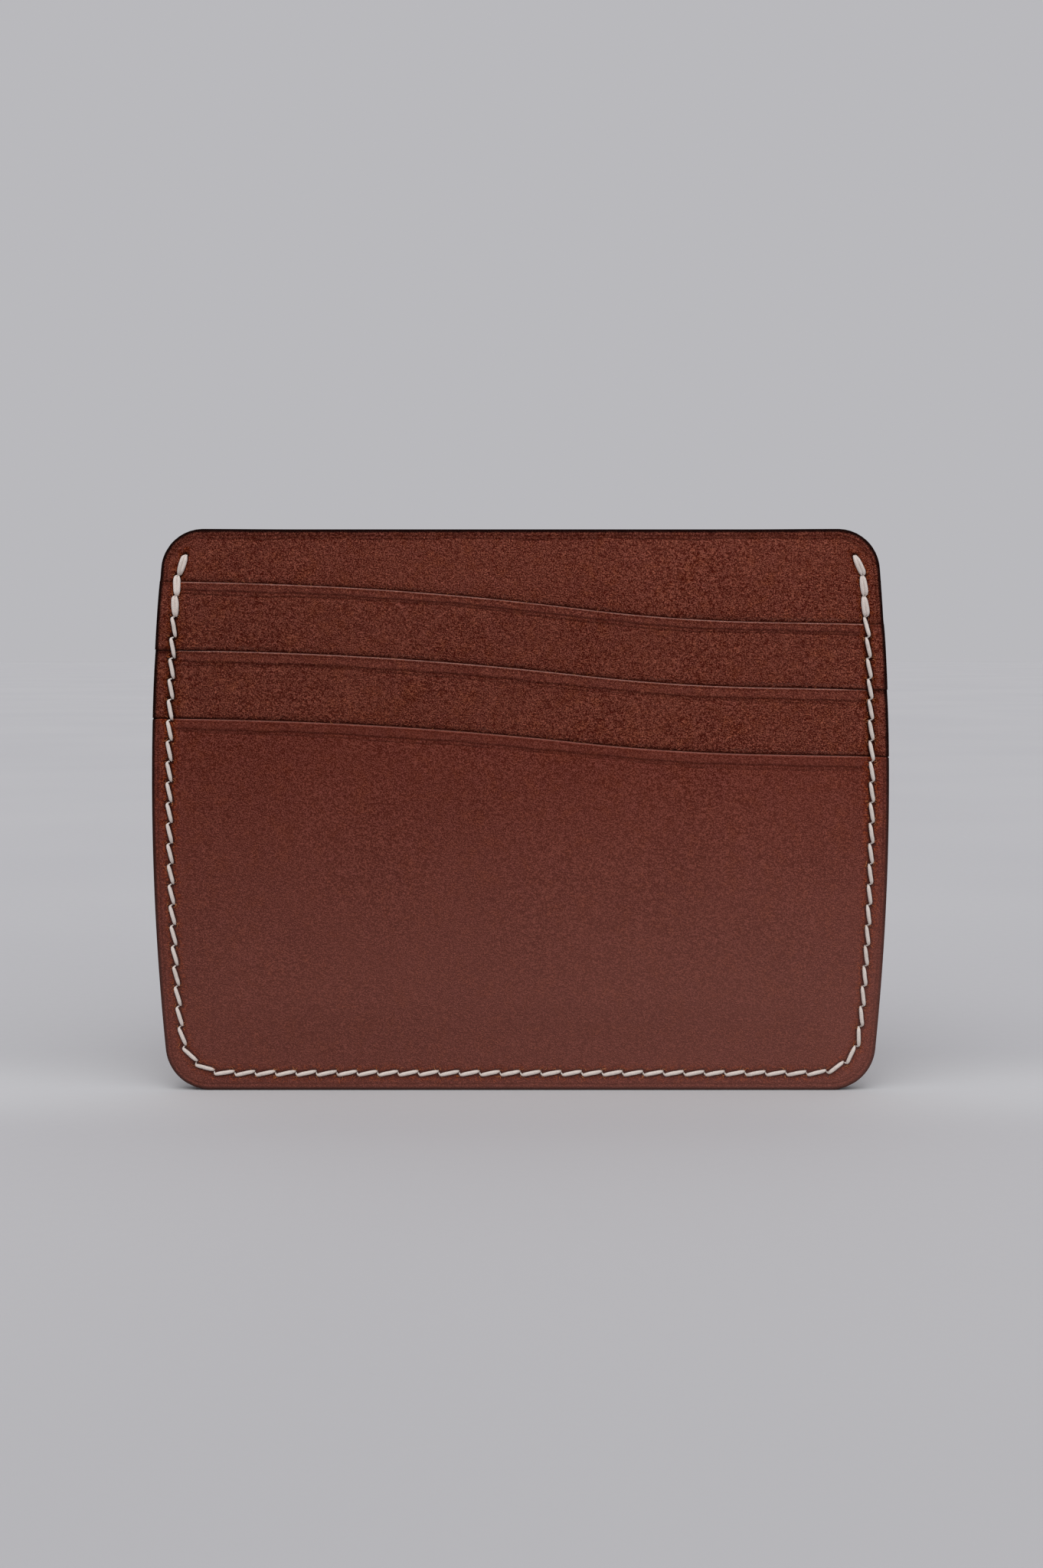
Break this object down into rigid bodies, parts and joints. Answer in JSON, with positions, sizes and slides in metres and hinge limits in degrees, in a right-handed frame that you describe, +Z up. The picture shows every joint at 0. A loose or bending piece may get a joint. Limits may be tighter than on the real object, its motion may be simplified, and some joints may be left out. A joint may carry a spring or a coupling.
{
  "type": "card holder",
  "caption": "Slim stitched leather card holder with stepped front pockets, a centre pocket open at the top and bowed sides.",
  "frame": {"origin": "middle of the bottom edge, at the middle of the thickness", "axes": "+X to the right as seen from the pocket side, +Z up, the pockets face -Y"},
  "size_m": [0.104, 0.0076, 0.0795],
  "materials": {
    "panel_leather": "satin",
    "pocket_leather": "satin",
    "thread": "matte"
  },
  "bodies": {
    "root": {"back_panel": "panel_leather", "pocket_backing": "panel_leather", "top_pocket": "pocket_leather", "middle_pocket": "pocket_leather", "front_pocket": "pocket_leather", "seam_thread": "thread", "top_stem_thread": "thread", "middle_stem_thread": "thread"}
  },
  "joints": []
}
